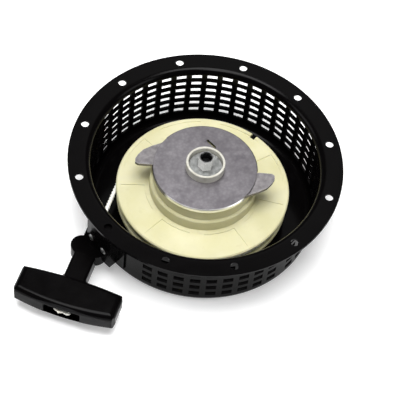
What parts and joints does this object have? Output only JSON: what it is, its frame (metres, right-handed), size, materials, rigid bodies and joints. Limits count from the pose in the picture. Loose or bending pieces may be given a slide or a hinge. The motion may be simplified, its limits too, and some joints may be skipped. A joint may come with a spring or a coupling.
{
  "type": "recoil starter",
  "caption": "Pull starter: a vented round steel drum with a bolting flange, a sprung rope reel, ratchet pawls under a drive plate, and a T-shaped pull handle.",
  "frame": {"origin": "centre of the mounting flange's bolt circle, on the flange's mounting face", "axes": "+Z out of the drum's open mouth, towards the engine; the rope is pulled along -Y; +X makes it right-handed"},
  "size_m": [0.24, 0.2826, 0.0725],
  "materials": {
    "drum_black": "gloss black paint on pressed steel",
    "zinc_plate": "mottled zinc plating",
    "pawl_steel": "stamped steel, matt",
    "nylon_cream": "natural nylon, semi-matt",
    "hub_ivory": "ivory moulded ring, satin",
    "bright_steel": "bright plated steel",
    "grey_steel": "grey plated steel",
    "spring_steel": "blued spring steel",
    "bronze": "sintered bronze",
    "rope_white": "braided nylon rope",
    "black_plastic": "black moulded plastic, satin",
    "satin_plastic": "dark grey satin plastic"
  },
  "bodies": {
    "housing": {"drum_shell": "drum_black", "spring_case": "grey_steel", "case_rivets": "grey_steel", "centre_shaft": "grey_steel", "recoil_spring": "spring_steel", "spacer_sleeve": "grey_steel", "hub_washer": "grey_steel", "centre_nut": "bright_steel", "guide_bracket": "drum_black", "rope_guide": "black_plastic", "guide_rivets": "grey_steel", "guide_eyelet": "bright_steel"},
    "reel": {"reel": "nylon_cream", "reel_bush": "bronze", "rope_coil": "rope_white", "reel_knot": "rope_white", "pawl_pins": "grey_steel", "pawl_springs": "spring_steel"},
    "plate": {"drive_plate": "zinc_plate", "plate_hub": "hub_ivory", "friction_spring": "spring_steel"},
    "pawl_left": {"pawl_left": "pawl_steel"},
    "pawl_right": {"pawl_right": "pawl_steel"},
    "handle": {"rope_run": "rope_white", "handle_grip": "black_plastic", "handle_plate": "satin_plastic", "handle_washer": "grey_steel", "handle_knot": "rope_white"}
  },
  "joints": [
    {"name": "reel_spin", "type": "hinge", "parent": "housing", "child": "reel", "pos_m": [0, 0, 0], "axis": [0, 0, 1], "range_deg": [0, 720], "stiffness_Nm_per_rad": 0.12, "springref_deg": -458.37, "deforming": ["recoil_spring", "rope_coil"]},
    {"name": "handle_pull", "type": "slide", "parent": "housing", "child": "handle", "axis": [0, -1, 0], "range_m": [0, 0.918], "deforming": ["rope_run"]},
    {"name": "plate_turn", "type": "hinge", "parent": "reel", "child": "plate", "pos_m": [0, 0, 0], "axis": [0, 0, 1], "range_deg": [0, 20]},
    {"name": "pawl_left_swing", "type": "hinge", "parent": "reel", "child": "pawl_left", "pos_m": [-0.03118, 0.018, -0.0138], "axis": [0, 0, 1], "range_deg": [0, 36]},
    {"name": "pawl_right_swing", "type": "hinge", "parent": "reel", "child": "pawl_right", "pos_m": [0.03118, -0.018, -0.0138], "axis": [0, 0, 1], "range_deg": [0, 36]}
  ],
  "couplings": [
    {"joint": "handle_pull", "follows": "reel_spin", "m_per_rad": 0.073},
    {"joint": "pawl_left_swing", "follows": "plate_turn", "ratio": 1.8},
    {"joint": "pawl_right_swing", "follows": "plate_turn", "ratio": 1.8}
  ]
}
